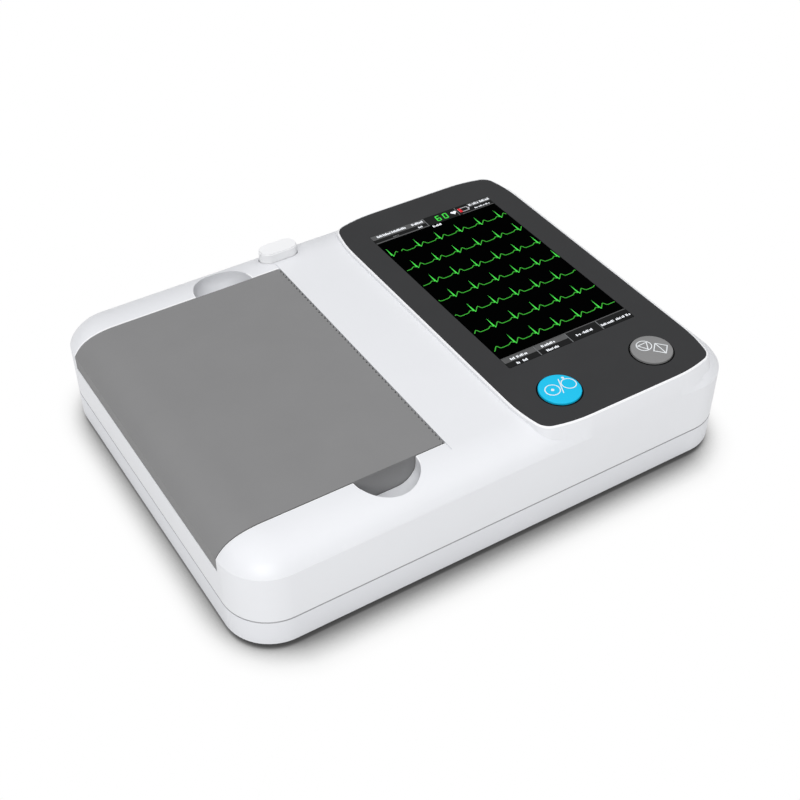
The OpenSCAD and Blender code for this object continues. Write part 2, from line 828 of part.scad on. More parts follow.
// Two hooks that reach up beside the platen shaft, with their noses above it
module latch_hooks() {
    nose = platen_x + 2.3;
    color("#9b9ea2")
        for (s = [-1, 1])
            difference() {
                union() {
                    rod_y(3.5, latch_x, latch_z,
                        s > 0 ? hook_y : -hook_y - hook_t, s > 0 ? hook_y + hook_t : -hook_y);
                    translate([0, s > 0 ? hook_y + hook_t : -hook_y, 0])
                        rotate([90, 0, 0])
                            linear_extrude(hook_t)
                                polygon([[latch_x - 2, latch_z], [latch_x + 2.6, latch_z],
                                    [latch_x + 2.6, 46.4], [nose + 0.4, 46.4], [nose, 44.6], [nose, 43.2],
                                    [latch_x - 0.4, 43.2], [latch_x - 0.4, 34]]);
                }
                rod_y(2, latch_x, latch_z, -70, 70);
            }
}

// The arm under the release button's stem
module latch_lever() {
    color("#9b9ea2")
    difference() {
        union() {
            rod_y(3.5, latch_x, latch_z, 83.8, 86.9);
            block([latch_x, 83.8, latch_z - 0.5], [release_x + 3, 86.9, latch_z + 3.5]);
        }
        rod_y(2, latch_x, latch_z, 80, 90);
    }
}

// Stadium cap with a chamfered rim, a flange under the case and a stem with a round tip
module release_button() {
    tip_z = latch_z + 3.7;
    color("#f2f3f5")
        translate([release_x, release_y, 0]) {
            translate([0, 0, 42.5])
                linear_extrude(release_top_z - 0.6 - 42.5)
                    stadium(release_len, release_w);
            translate([0, 0, release_top_z - 0.7])
                linear_extrude(0.7)
                    stadium(release_len - 0.8, release_w - 0.8);
            translate([0, 0, 42.5])
                linear_extrude(2)
                    stadium(release_len + 2.4, release_w + 2.4);
            translate([0, 0, tip_z + 2])
                cylinder(r = 2, h = 42.5 - tip_z - 1.9);
            translate([0, 0, tip_z + 2])
                sphere(2);
        }
}

module release_spring() {
    color("#c9ccd0")
        translate([release_x, release_y, 0])
            coil_spring(3.4, 0.35, 4, release_seat_z, 42.5);
}

// ---- Paper ----

// Bucket that holds the roll, with a rim on the well floor and notches for the spindle
module paper_tray() {
    color("#dcdee2")
    difference() {
        union() {
            block([tray_left, -tray_half, tray_z], [tray_right, tray_half, well_z + 1]);
            block([tray_left - 3.5, -tray_half - 7.5, well_z], [tray_right, tray_half + 7.5, well_z + 1.5]);
        }
        block([tray_left + 1.5, -tray_half + 1.5, tray_z + 1.5],
            [tray_right - 1.5, tray_half - 1.5, well_z + 3]);
        block([tray_right - 3, -tray_half + 1.5, 29], [tray_right + 1, tray_half - 1.5, well_z + 3]);
        rod_y(3.1, roll_x, roll_z, -tray_half - 8, tray_half + 8);
        block([roll_x - 3.1, -tray_half - 8, roll_z], [roll_x + 3.1, tray_half + 8, well_z + 3]);
    }
}

module paper_spindle() {
    color("#6f7174")
    union() {
        rod_y(3.04, roll_x, roll_z, -tray_half - 0.5, tray_half + 0.5, $fn = 48);
        rod_y(5.9, roll_x, roll_z, -paper_half, paper_half);
        for (s = [-1, 1])
            rod_y(11, roll_x, roll_z, s > 0 ? paper_half + 0.3 : -paper_half - 2.3,
                s > 0 ? paper_half + 2.3 : -paper_half - 0.3);
    }
}

module paper_core() {
    color("#b08a5a")
    difference() {
        rod_y(core_r, roll_x, roll_z, -paper_half, paper_half);
        rod_y(5.95, roll_x, roll_z, -60, 60);
    }
}

module paper_roll() {
    color("#f6e9e6")
    difference() {
        rod_y(roll_r, roll_x, roll_z, -paper_half, paper_half);
        rod_y(core_r, roll_x, roll_z, -60, 60);
    }
}

// ---- Electronics ----

module main_board() {
    color("#1f6b3a")
    difference() {
        block([20, 2, main_board_z], [104, 93, main_board_z + board_t]);
        for (xy = main_board_screw_xy)
            post(1.4, xy, main_board_z - 1, main_board_z + board_t + 1);
    }
}

// Chips, capacitors and ribbon sockets on the main board
module main_board_parts() {
    z = main_board_z + board_t;
    color("#2c2d30") {
        block([40, 8.5, z], [60, 13.8, z + 2.6]);
        block([22, head_ribbon_y - 10.5, z], [26, head_ribbon_y + 10.5, z + head_socket_h]);
        block([44, 32, z], [62, 50, z + 1.6]);
        block([28, 34, z], [38, 46, z + 1.2]);
        for (i = [0:3])
            post(3, [26 + 8 * i, 66], z, z + 8);
    }
}

module shield_can() {
    z = main_board_z + board_t;
    color("#b4b7bb")
    difference() {
        block([70, 14, z], [101, 56, z + 8]);
        block([70.4, 14.4, z - 1], [100.6, 55.6, z + 7.6]);
    }
}

module board_screws() {
    color("#c9ccd0") {
        for (xy = main_board_screw_xy) {
            post(1, xy, main_board_z - 6, main_board_z + board_t, $fn = 24);
            post(2.2, xy, main_board_z + board_t, main_board_z + board_t + 1.4, $fn = 24);
        }
        for (xy = chassis_screw_xy) {
            post(1, xy, 4, 9.6, $fn = 24);
            post(2.2, xy, 9.5, 10.9, $fn = 24);
        }
        for (xy = [[33, -61], [101, -61], [67, -88]]) {
            post(0.9, xy, button_board_z, button_board_z + 6, $fn = 24);
            post(1.9, xy, button_board_z - 1.2, button_board_z, $fn = 24);
        }
    }
}

module power_board() {
    color("#9c7a2e")
    difference() {
        block([-103, 67.5, 10], [-33, 94, 10 + board_t]);
        for (x = [-98, -38], y = [71, 90])
            post(1.1, [x, y], 9, 12);
    }
}

// Transformer, reservoir capacitor, chokes and heat sink of the mains supply
module power_parts() {
    z = 10 + board_t;
    color("#33353a") {
        block([-76, 70, z], [-56, 86, z + 7]);
        block([-54, 76, z], [-50, 92, z + 14]);
        post(5, [-44, 82], z, z + 16);
        post(4, [-90, 74], z, z + 8);
    }
}

// Mains inlet with three blades in its mouth
module mains_inlet() {
    y1 = case_d / 2;
    color("#1d1e20") {
        difference() {
            block([inlet_x - 14, y1 - 19, inlet_z - 10.5], [inlet_x + 14, y1 - 0.1, inlet_z + 10.5]);
            block([inlet_x - 12, y1 - 16, inlet_z - 8], [inlet_x + 12, y1 + 1, inlet_z + 8]);
        }
        for (p = [[-7, -2], [7, -2], [0, 3.4]])
            block([inlet_x + p[0] - 1, y1 - 16.5, inlet_z + p[1] - 2],
                [inlet_x + p[0] + 1, y1 - 3, inlet_z + p[1] + 2]);
    }
}

// Fifteen-way D socket for the patient cable
module patient_connector() {
    x1 = case_w / 2;
    color("#a9adb2")
    difference() {
        union() {
            block([x1 - 6, patient_y - 19.6, patient_z - 6.2], [x1 - 4.4, patient_y + 19.6, patient_z + 6.2]);
            translate([x1 - 20, patient_y, patient_z])
                rotate([90, 0, 90])
                    linear_extrude(19.8)
                        polygon([[-12.4, 4.2], [12.4, 4.2], [11.2, -4.2], [-11.2, -4.2]]);
            block([101.5, patient_y - 13, main_board_z + board_t], [x1 - 6, patient_y + 13, patient_z + 5.5]);
        }
        for (i = [0:7])
            translate([x1 - 6, patient_y + (i - 3.5) * 2.74, patient_z + 1.42])
                rotate([0, 90, 0])
                    cylinder(r = 0.55, h = 7, $fn = 16);
        for (i = [0:6])
            translate([x1 - 6, patient_y + (i - 3) * 2.74, patient_z - 1.42])
                rotate([0, 90, 0])
                    cylinder(r = 0.55, h = 7, $fn = 16);
        for (s = [-1, 1])
            translate([x1 - 8, patient_y + s * 16.65, patient_z])
                rotate([0, 90, 0])
                    cylinder(r = 1.5, h = 4);
    }
}

module connector_studs() {
    x1 = case_w / 2;
    color("#d2d4d8")
        for (s = [-1, 1])
            translate([x1 - 4.4, patient_y + s * 16.65, patient_z])
                rotate([0, 90, 0])
                    difference() {
                        cylinder(r = 2.7, h = 4.2, $fn = 6);
                        translate([0, 0, 0.6])
                            cylinder(r = 1.3, h = 4);
                    }
}

module usb_port() {
    y1 = case_d / 2;
    z = main_board_z + board_t;
    color("#b9bcc0")
    union() {
        difference() {
            block([usb_x - 6.6, y1 - 16, z], [usb_x + 6.6, y1 - 0.4, z + 6.2]);
            block([usb_x - 6.1, y1 - 13, z + 0.5], [usb_x + 6.1, y1, z + 5.7]);
        }
        block([usb_x - 5.6, y1 - 13.5, z + 3.2], [usb_x + 5.6, y1 - 1.4, z + 5]);
    }
}

module network_port() {
    y1 = case_d / 2;
    z = main_board_z + board_t;
    color("#b9bcc0")
    difference() {
        block([network_x - 8, y1 - 21.5, z], [network_x + 8, y1 - 0.3, z + 13.4]);
        block([network_x - 5.9, y1 - 14, z + 2], [network_x + 5.9, y1, z + 9]);
        block([network_x - 3, y1 - 14, z + 8.5], [network_x + 3, y1, z + 11]);
    }
}

// Equalisation stud in its cup on the back
module ground_stud() {
    y1 = case_d / 2;
    color("#c9ab5c")
    union() {
        rod_y(2, stud_x, stud_z, y1 - 14, y1 - 9.5, $fn = 48);
        rod_y(3, stud_x, stud_z, y1 - 10, y1 - 0.3, $fn = 48);
        rod_y(4.6, stud_x, stud_z, y1 - 10, y1 - 8.6, $fn = 6);
        rod_y(3.6, stud_x, stud_z, y1 - 14, y1 - 12.05, $fn = 6);
    }
}

module battery_pack() {
    color("#2f5f9e")
        translate([(bay_x[0] + bay_x[1]) / 2, -50, 0])
            plate(70, 76, 3, floor_z + 0.3, floor_z + 19.3);
}

module battery_door() {
    color("#dfe1e5")
    difference() {
        block([bay_x[0] + 0.2, bay_y[0] + 0.2, base_z], [bay_x[1] - 0.2, bay_y[1] - 0.2, floor_z - 0.1]);
        for (xy = door_screw_xy) {
            post(1.3, xy, base_z - 1, floor_z + 1);
            post(2.3, xy, base_z - 1, base_z + 1);
        }
        block([50, bay_y[1] - 4, base_z - 1], [68, bay_y[1] - 2.4, base_z + 1]);
    }
}

module door_screws() {
    color("#b9bcc0")
        for (xy = door_screw_xy) {
            post(1, xy, base_z + 1, floor_z + 8, $fn = 24);
            post(2.1, xy, base_z + 0.2, base_z + 1, $fn = 24);
        }
}

module speaker() {
    color("#232427")
        translate([-75, -80, floor_z])
            rotate_extrude()
                polygon([[0, 1], [9, 1.6], [12.2, 0], [13.6, 0], [13.6, 2], [8, 3.4], [8, 6], [0, 6]]);
}

lower_case();
upper_case();
feet();
case_screws();
fascia_panel();
fascia_adhesive();
touch_glass();
lcd_module();
lcd_bracket();
lcd_ribbon();
start_button();
power_button();
start_spring();
power_spring();
button_board();
key_switches();
paper_lid();
hinge_pins();
platen_bracket();
platen_bushes();
platen_shaft();
platen_roller();
platen_gear();
printer_chassis();
print_head();
head_heat_sink();
head_springs();
head_ribbon();
idler_pin();
idler_gear();
stepper_motor();
motor_pinion();
latch_shaft();
latch_hooks();
latch_lever();
release_button();
release_spring();
paper_tray();
paper_spindle();
paper_core();
paper_roll();
main_board();
main_board_parts();
shield_can();
board_screws();
power_board();
power_parts();
mains_inlet();
patient_connector();
connector_studs();
usb_port();
network_port();
ground_stud();
battery_pack();
battery_door();
door_screws();
speaker();
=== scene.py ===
"""Portable ECG recorder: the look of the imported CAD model.

Millimetre sizes are written as numbers times MM. Everything is in the CAD frame: +X along the front,
+Y to the back, +Z up, with the origin on the table under the middle of the case.
"""
import json
import math

import bmesh
import bpy
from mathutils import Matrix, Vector

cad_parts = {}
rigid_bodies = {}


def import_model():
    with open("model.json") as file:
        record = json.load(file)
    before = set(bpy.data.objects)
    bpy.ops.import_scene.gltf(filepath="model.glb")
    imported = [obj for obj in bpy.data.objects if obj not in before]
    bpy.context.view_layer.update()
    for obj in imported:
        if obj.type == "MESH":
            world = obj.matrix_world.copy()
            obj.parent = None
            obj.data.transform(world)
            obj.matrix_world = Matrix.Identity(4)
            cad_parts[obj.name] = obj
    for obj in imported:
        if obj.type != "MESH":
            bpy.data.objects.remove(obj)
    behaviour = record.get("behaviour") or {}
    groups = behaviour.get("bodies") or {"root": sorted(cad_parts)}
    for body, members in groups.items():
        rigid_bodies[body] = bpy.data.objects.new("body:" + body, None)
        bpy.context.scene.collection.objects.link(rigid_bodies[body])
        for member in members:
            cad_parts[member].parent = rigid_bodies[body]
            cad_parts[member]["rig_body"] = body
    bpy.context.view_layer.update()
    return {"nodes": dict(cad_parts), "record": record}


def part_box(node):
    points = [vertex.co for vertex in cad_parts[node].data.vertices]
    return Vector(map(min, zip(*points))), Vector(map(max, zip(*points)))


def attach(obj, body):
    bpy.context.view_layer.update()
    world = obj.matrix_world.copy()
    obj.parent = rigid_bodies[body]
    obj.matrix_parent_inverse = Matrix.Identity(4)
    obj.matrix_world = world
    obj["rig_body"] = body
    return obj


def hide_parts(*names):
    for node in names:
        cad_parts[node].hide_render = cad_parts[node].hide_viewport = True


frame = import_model()

MM = 0.001
nodes = frame["nodes"]
slot_of = {row["node"]: row["material_slot"] for row in frame["record"]["subparts"]}


# ---- Measures read from the frame ----

def box_of(node):
    """The low and high corners of a CAD node's box."""
    low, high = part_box(node)
    return Vector(low), Vector(high)


glass_low, glass_high = box_of("touch_glass")
LID_HIGH = box_of("paper_lid")[1]
FASCIA_TOP = box_of("fascia_panel")[1].z


def link(piece):
    bpy.context.scene.collection.objects.link(piece)


# ---- Materials ----

# Ramp stops from the painted shade of the joint groove, through the mottle, to the painted edge highlight
EDGE_STOPS = (0.0, 0.12, 0.3, 0.7, 1.0)
JOINT_PAINTED_SHADE = 0.45
GRAIN_DEPTH = 0.06 * MM


def node_in(tree, kind, **values):
    """A shader node with its inputs or properties set."""
    made = tree.nodes.new(kind)
    for name, value in values.items():
        if name in made.inputs:
            made.inputs[name].default_value = value
        else:
            setattr(made, name, value)
    return made


def colour_ramp(tree, places, colours):
    """A colour ramp with its stops at rising places."""
    ramp = tree.nodes.new("ShaderNodeValToRGB")
    for place in places[2:]:
        ramp.color_ramp.elements.new(place)
    for element, place, colour in zip(ramp.color_ramp.elements, places, colours):
        element.position = place
        element.color = (*colour, 1)
    return ramp


def surface(name, colour, spread=0.03, rough=0.45, rough_spread=0.06, grain=1400, bump=0.08,
            stretch=(1, 1, 1), metallic=0.0, specular=0.5, coat=0.0, sheen=0.0, mottle=35, edge=None):
    """A procedural finish: a slow mottle in the colour, and a fine grain in the roughness and the surface.

    With an edge colour, faces that broken_edges marks with 1 take that colour as a painted highlight, and
    faces marked with -1 darken as painted shade in a joint.
    """
    material = bpy.data.materials.new(name)
    material.use_nodes = True
    tree = material.node_tree
    shader = tree.nodes["Principled BSDF"]
    shader.inputs["Metallic"].default_value = metallic
    shader.inputs["Specular IOR Level"].default_value = specular
    shader.inputs["Coat Weight"].default_value = coat
    shader.inputs["Sheen Weight"].default_value = sheen
    place = tree.nodes.new("ShaderNodeTexCoord")
    mapping = node_in(tree, "ShaderNodeMapping", Scale=stretch)
    tree.links.new(place.outputs["Object"], mapping.inputs["Vector"])
    slow = node_in(tree, "ShaderNodeTexNoise", Scale=mottle, Detail=4.0, Roughness=0.6)
    fine = node_in(tree, "ShaderNodeTexNoise", Scale=grain, Detail=3.0, Roughness=0.55)
    for noise in (slow, fine):
        tree.links.new(mapping.outputs["Vector"], noise.inputs["Vector"])

    dark = [c * (1 - spread) for c in colour]
    light = [min(1, c * (1 + spread)) for c in colour]
    if edge is None:
        ramp = colour_ramp(tree, (0.3, 0.7), (dark, light))
        tree.links.new(slow.outputs["Fac"], ramp.inputs["Fac"])
    else:
        # A mark of 1 lifts a face to the painted highlight colour; -1 drops it to painted joint shade
        painted_joint_shade = [c * JOINT_PAINTED_SHADE for c in colour]
        ramp = colour_ramp(tree, EDGE_STOPS, (painted_joint_shade, dark, dark, light, edge))
        marked = node_in(tree, "ShaderNodeAttribute", attribute_name="edge")
        both = node_in(tree, "ShaderNodeMath", operation="ADD")
        tree.links.new(slow.outputs["Fac"], both.inputs[0])
        tree.links.new(marked.outputs["Fac"], both.inputs[1])
        tree.links.new(both.outputs["Value"], ramp.inputs["Fac"])
    tree.links.new(ramp.outputs["Color"], shader.inputs["Base Color"])

    gloss = node_in(tree, "ShaderNodeMapRange", **{
        "From Min": 0.3, "From Max": 0.7, "To Min": rough - rough_spread, "To Max": rough + rough_spread})
    tree.links.new(fine.outputs["Fac"], gloss.inputs["Value"])
    tree.links.new(gloss.outputs["Result"], shader.inputs["Roughness"])

    lift = node_in(tree, "ShaderNodeBump", Strength=bump, Distance=GRAIN_DEPTH)
    tree.links.new(fine.outputs["Fac"], lift.inputs["Height"])
    tree.links.new(lift.outputs["Normal"], shader.inputs["Normal"])
    return material


def glow(name, colour, strength):
    """Lit display pixels, with a faint unevenness like a real panel."""
    material = surface(name, colour, spread=0.05, rough=0.35, bump=0.0, mottle=220, specular=0.0)
    shader = material.node_tree.nodes["Principled BSDF"]
    ramp = next(n for n in material.node_tree.nodes if n.type == "VALTORGB")
    material.node_tree.links.new(ramp.outputs["Color"], shader.inputs["Emission Color"])
    shader.inputs["Emission Strength"].default_value = strength
    return material


# An edge colour is the painted highlight on faces marked 1; these finishes also darken faces marked -1 as
# painted shade
FINISHES = {
    "case_white": dict(colour=(0.765, 0.775, 0.80), spread=0.008, rough=0.42, grain=1500, bump=0.10,
                       edge=(0.93, 0.935, 0.95)),
    "base_white": dict(colour=(0.735, 0.745, 0.775), spread=0.008, rough=0.45, grain=1500, bump=0.10,
                       edge=(0.92, 0.925, 0.94)),
    "lid_grey": dict(colour=(0.228, 0.228, 0.23), spread=0.02, rough=0.6, grain=1700, bump=0.16,
                     specular=0.2, edge=(0.27, 0.27, 0.272)),
    "fascia_dark": dict(colour=(0.036, 0.0365, 0.038), spread=0.04, grain=2600, specular=0.12),
    "display_glass": dict(colour=(0.0006, 0.0007, 0.0007), spread=0.1, rough=0.22, rough_spread=0.02,
                          bump=0.0, specular=0.0),
    "key_blue": dict(colour=(0.009, 0.517, 0.81), spread=0.02, rough=0.42, bump=0.04, specular=0.15),
    "key_grey": dict(colour=(0.238, 0.238, 0.239), spread=0.02, rough=0.42, bump=0.04, specular=0.15),
    "key_white": dict(colour=(0.87, 0.875, 0.885), spread=0.006, rough=0.35, grain=1600, bump=0.06),
    "black_rubber": dict(colour=(0.03, 0.03, 0.031), spread=0.12, rough=0.78, grain=900, bump=0.25),
    "spring_steel": dict(colour=(0.56, 0.57, 0.58), spread=0.06, rough=0.28, metallic=1.0,
                         stretch=(1, 1, 6), bump=0.1),
    "steel": dict(colour=(0.55, 0.56, 0.57), spread=0.07, rough=0.34, metallic=1.0, stretch=(1, 9, 1),
                  bump=0.12),
    "aluminium": dict(colour=(0.72, 0.73, 0.74), spread=0.05, rough=0.38, metallic=1.0, stretch=(1, 12, 1),
                      bump=0.14),
    "brass": dict(colour=(0.70, 0.51, 0.20), spread=0.07, rough=0.3, metallic=1.0, bump=0.1),
    "acetal": dict(colour=(0.80, 0.78, 0.71), rough=0.4, bump=0.06),
    "head_ceramic": dict(colour=(0.70, 0.67, 0.60), rough=0.22, bump=0.03, coat=0.3),
    "black_plastic": dict(colour=(0.022, 0.022, 0.024), spread=0.12, rough=0.5, bump=0.14),
    "tray_white": dict(colour=(0.66, 0.67, 0.69), spread=0.015, rough=0.5, bump=0.14),
    "spindle_grey": dict(colour=(0.16, 0.16, 0.165), spread=0.05, rough=0.5, bump=0.12),
    "core_board": dict(colour=(0.42, 0.28, 0.15), spread=0.18, rough=0.8, grain=700, bump=0.3, mottle=160),
    "circuit_green": dict(colour=(0.02, 0.15, 0.055), spread=0.12, rough=0.32, coat=0.4, bump=0.05),
    "circuit_tan": dict(colour=(0.34, 0.22, 0.08), spread=0.1),
    "film_amber": dict(colour=(0.55, 0.24, 0.05), spread=0.08, rough=0.25, coat=0.5, bump=0.02),
    "battery_wrap": dict(colour=(0.03, 0.12, 0.34), spread=0.06, rough=0.24, coat=0.4, bump=0.05),
    "connector_steel": dict(colour=(0.60, 0.61, 0.63), spread=0.06, rough=0.3, metallic=1.0,
                            stretch=(1, 1, 5), bump=0.1),
    "chart_paper": dict(colour=(0.86, 0.80, 0.78), rough=0.85, grain=900, bump=0.2, stretch=(1, 8, 1),
                        sheen=0.2),
}
LOOKS = {slot: surface(slot, **finish) for slot, finish in FINISHES.items()}
PIXELS = {
    "green": glow("pixels_green", (0.0445, 0.46, 0.05), 0.75),
    "dim_green": glow("pixels_dim_green", (0.031, 0.25, 0.025), 0.75),
    "frame": glow("pixels_frame", (0.5, 0.5, 0.52), 0.35),
    "white": glow("pixels_white", (0.75, 0.77, 0.80), 0.35),
    "red": glow("pixels_red", (0.55, 0.02, 0.03), 0.4),
    "line": glow("pixels_line", (0.16, 0.165, 0.17), 0.25),
    "strip": glow("pixels_strip", (0.086, 0.087, 0.088), 0.25),
    "shade": glow("pixels_shade", (0.015, 0.0153, 0.0155), 0.15),
}
INK = surface("glyph_ink", (0.80, 0.83, 0.85), spread=0.02, rough=0.4, bump=0.02)
# A near-black ring laid on the fascia round each key: painted shade for the gap
PAINTED_GAP_SHADE = surface("key_gap_painted_shade", (0.004, 0.004, 0.0042), spread=0.1, rough=0.8, bump=0.05, specular=0.0)

for node_name, node_object in nodes.items():
    node_object.data.materials.clear()
    node_object.data.materials.append(LOOKS[slot_of[node_name]])


# ---- Shells: each visible moulding is the CAD solid with its edges broken, as a mould leaves them ----

RAIL_Y = LID_HIGH.y + 0.3 * MM
RAIL_FOOT = 42.6 * MM
SCOOP_X = -49.4 * MM
SCOOP_R = 15.1 * MM
TEAR_DEPTH = 4 * MM
UNDERSIDE = 4 * MM
JOINT_LOW = 16.55 * MM
JOINT_HIGH = 17.45 * MM
RIM_DEPTH = 0.55 * MM
CREASE = math.radians(28)


def broken_edges(node, width, wanted, angle=35, segments=2, marks=None, clamp=True):
    """A copy of a CAD node's solid with rounded edges and clean shading, in place of the node.

    "wanted" says which edges sharper than "angle" are rounded, from an edge's middle and the edge. The new
    faces are marked 1, shown as a painted highlight by finishes with an edge colour; "marks" gives the
    mark of any other face from its middle.
    """
    source = nodes[node]
    mesh = bmesh.new()
    mesh.from_mesh(source.data)
    bmesh.ops.remove_doubles(mesh, verts=mesh.verts, dist=1e-6)
    bmesh.ops.dissolve_limit(mesh, angle_limit=math.radians(0.4), verts=mesh.verts, edges=mesh.edges)
    mark = mesh.faces.layers.float.new("edge")
    edges = [e for e in mesh.edges if e.is_manifold and e.calc_face_angle(0) > math.radians(angle)
             and wanted((e.verts[0].co + e.verts[1].co) / 2, e)]
    made = bmesh.ops.bevel(mesh, geom=edges, offset=width, offset_type="OFFSET", segments=segments,
                           profile=0.6, affect="EDGES", clamp_overlap=clamp, loop_slide=True)
    for face in made["faces"]:
        face[mark] = 1.0
    bmesh.ops.remove_doubles(mesh, verts=mesh.verts, dist=2e-7)
    for face in mesh.faces:
        face.smooth = True
        if marks:
            face[mark] = marks(face.calc_center_median()) or face[mark]
    for edge in mesh.edges:
        edge.smooth = not (edge.is_manifold and edge.calc_face_angle(0) > CREASE)
    data = bpy.data.meshes.new(node + "_moulding")
    mesh.to_mesh(data)
    mesh.free()
    piece = bpy.data.objects.new(node + "_moulding", data)
    link(piece)
    data.materials.clear()
    data.materials.append(LOOKS[slot_of[node]])
    weighted = piece.modifiers.new("weighted", "WEIGHTED_NORMAL")
    weighted.keep_sharp = True
    weighted.weight = 80
    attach(piece, source["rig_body"])
    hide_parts(node)


def any_edge(middle, edge):
    return True


def lid_side(middle, edge):
    """The outer edges of the lid's two ends, from the tear edge over the crown to the hinge."""
    outside = any(face.normal.z > 0.05 or face.normal.x < -0.9 for face in edge.link_faces)
    return abs(middle.y) > LID_HIGH.y - 0.05 * MM and middle.x < LID_HIGH.x - TEAR_DEPTH and outside


def rail_edge(middle, edge):
    """The rails' top edges beside the lid, with the rims of the two finger scoops."""
    beside = abs(abs(middle.y) - RAIL_Y) < 0.15 * MM and middle.x < LID_HIGH.x - 1 * MM
    from_scoop = math.hypot(middle.x - SCOOP_X, abs(middle.y) - RAIL_Y)
    rim = abs(from_scoop - SCOOP_R) < 0.12 * MM and abs(middle.y) > RAIL_Y - 0.1 * MM
    return (beside and middle.z > RAIL_FOOT) or (rim and middle.z > LID_HIGH.z - 0.1 * MM)


def bottom_edge(middle, edge):
    return middle.z < UNDERSIDE


def joint(middle):
    """The mark of painted shade in the narrow groove where the two halves of the case meet."""
    return -1.0 if JOINT_LOW < middle.z < JOINT_HIGH else 0.0


def upper_highlight_and_shade(middle):
    """A painted highlight on the narrow rim that stands round the fascia, painted shade in the joint."""
    return 1.0 if middle.z > FASCIA_TOP - RIM_DEPTH else joint(middle)


# The rounded edges of the lid, rails, scoop rims and case underside carry a painted highlight; the groove
# carries painted shade
broken_edges("paper_lid", 0.6 * MM, lid_side, segments=3)
broken_edges("fascia_panel", 0.12 * MM, any_edge)
broken_edges("release_button", 0.6 * MM, any_edge, angle=60, segments=3)
broken_edges("upper_case", 0.5 * MM, rail_edge, marks=upper_highlight_and_shade, clamp=False)
broken_edges("lower_case", 0.4 * MM, bottom_edge, marks=joint)
broken_edges("touch_glass", 0.1 * MM, any_edge)


# ---- Flat artwork: thin closed shapes a few hundredths of a millimetre proud of what carries them ----

def slab(name, outlines, base, thick, material, body):
    """One object from closed outlines of (x, y) points, raised from a height or a function of x and y."""
    mesh = bmesh.new()
    height = base if callable(base) else lambda x, y: base
    for outline in outlines:
        lower = [mesh.verts.new((x, y, height(x, y))) for x, y in outline]
        upper = [mesh.verts.new((x, y, height(x, y) + thick)) for x, y in outline]
        mesh.faces.new(upper)
        mesh.faces.new(lower[::-1])
        for i in range(len(outline)):
            after = (i + 1) % len(outline)
            mesh.faces.new((lower[i], lower[after], upper[after], upper[i]))
    bmesh.ops.recalc_face_normals(mesh, faces=mesh.faces)
    data = bpy.data.meshes.new(name)
    mesh.to_mesh(data)
    mesh.free()
    piece = bpy.data.objects.new(name, data)
    link(piece)
    data.materials.append(material)
    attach(piece, body)


def rectangle(x0, y0, x1, y1):
    return [(x0, y0), (x1, y0), (x1, y1), (x0, y1)]


def stroke(points, width, closed=False):
    """Outlines of the quads along a path; neighbouring quads share their mitred ends."""
    count = len(points)
    sides = []
    for i in range(count):
        before = Vector(points[i - 1] if closed or i else points[0])
        here = Vector(points[i])
        after = Vector(points[(i + 1) % count] if closed or i < count - 1 else points[-1])
        first = (here - before).normalized() if (here - before).length else (after - here).normalized()
        second = (after - here).normalized() if (after - here).length else first
        normal = Vector((-first.y - second.y, first.x + second.x)).normalized()
        reach = width / 2 / max(0.35, normal.dot(Vector((-first.y, first.x))))
        sides.append((tuple(here + normal * reach), tuple(here - normal * reach)))
    ends = sides[1:] + (sides[:1] if closed else [])
    return [[start[1], end[1], end[0], start[0]] for start, end in zip(sides, ends)]


def circle(cx, cy, radius, steps):
    turns = [2 * math.pi * i / steps for i in range(steps)]
    return [(cx + radius * math.cos(a), cy + radius * math.sin(a)) for a in turns]


def ring(cx, cy, radius, width, steps=40):
    return stroke(circle(cx, cy, radius, steps), width, closed=True)


def disc(cx, cy, radius):
    return [circle(cx, cy, radius, 20)]


# ---- Display ----

MARGIN = 0.1 * MM
SCREEN_LEFT = glass_low.x + MARGIN
SCREEN_RIGHT = glass_high.x - MARGIN
SCREEN_BACK = glass_high.y - MARGIN
SCREEN_FRONT = glass_low.y + MARGIN
LAYER = 0.02 * MM
TOP_BAR = 7.2 * MM
LOW_BAR = 7.3 * MM
ROWS = 7
ROW_PITCH = 14.78 * MM
FIRST_ROW = SCREEN_BACK - TOP_BAR - 12.4 * MM
TRACE_LEFT = SCREEN_LEFT + 0.8 * MM
TRACE_RIGHT = SCREEN_RIGHT - 0.4 * MM
TRACE_W = 0.45 * MM
SPIKE_W = 0.5 * MM
BEAT = 12.39 * MM
BEATS = range(-2, 8)
BEAT_SHIFT = 1.257 * MM
FIRST_BEAT = SCREEN_LEFT + 5.56 * MM
SWEEP = 2.0 * MM
OLD_BEAT = 3.95 * MM
# One beat in millimetres from its spike: after the spike a T wave, before the next one a P wave
WAVE = [(0.35, -0.55), (0.9, -0.15), (2.0, 1.05), (2.8, 1.95), (3.3, 2.15), (3.75, 1.5), (4.2, 0.35),
        (4.7, 0.0), (6.4, -0.02), (8.6, 0.05), (9.4, 0.3), (10.3, 1.0), (10.9, 1.25), (11.5, 0.75),
        (12.1, 0.2)]
PEAK = [(-0.28, 0.2), (0.0, 6.3), (0.24, -0.9)]
# Rows of marks that stand for writing: millimetres from the display's left edge and back or front edge,
# the pattern of the marks and their height
HEADER_MARKS = (
    (3.3, 2.6, "boblboboolbobobbobbo", 1.7), (24.0, 2.6, "blobboob", 1.7), (25.9, 6.1, "bob", 1.3),
    (59.6, 2.6, "bl-oblo bobloob", 1.7), (61.0, 6.0, "bo-oblo-blo", 1.1), (32.8, 9.5, "blobob", 1.6))
FOOTER_MARKS = (
    (3.9, 4.2, "bob blobloo", 1.5), (4.9, 0.5, "bo  bob", 1.5), (21.3, 4.2, "blooboblo", 1.5),
    (21.7, 0.5, "bboolobo", 1.5), (40.0, 2.2, "b-o -boblob", 1.5), (54.6, 2.0, "boblooobl obolob blo", 1.5))
MARK_PITCH = 0.86 * MM
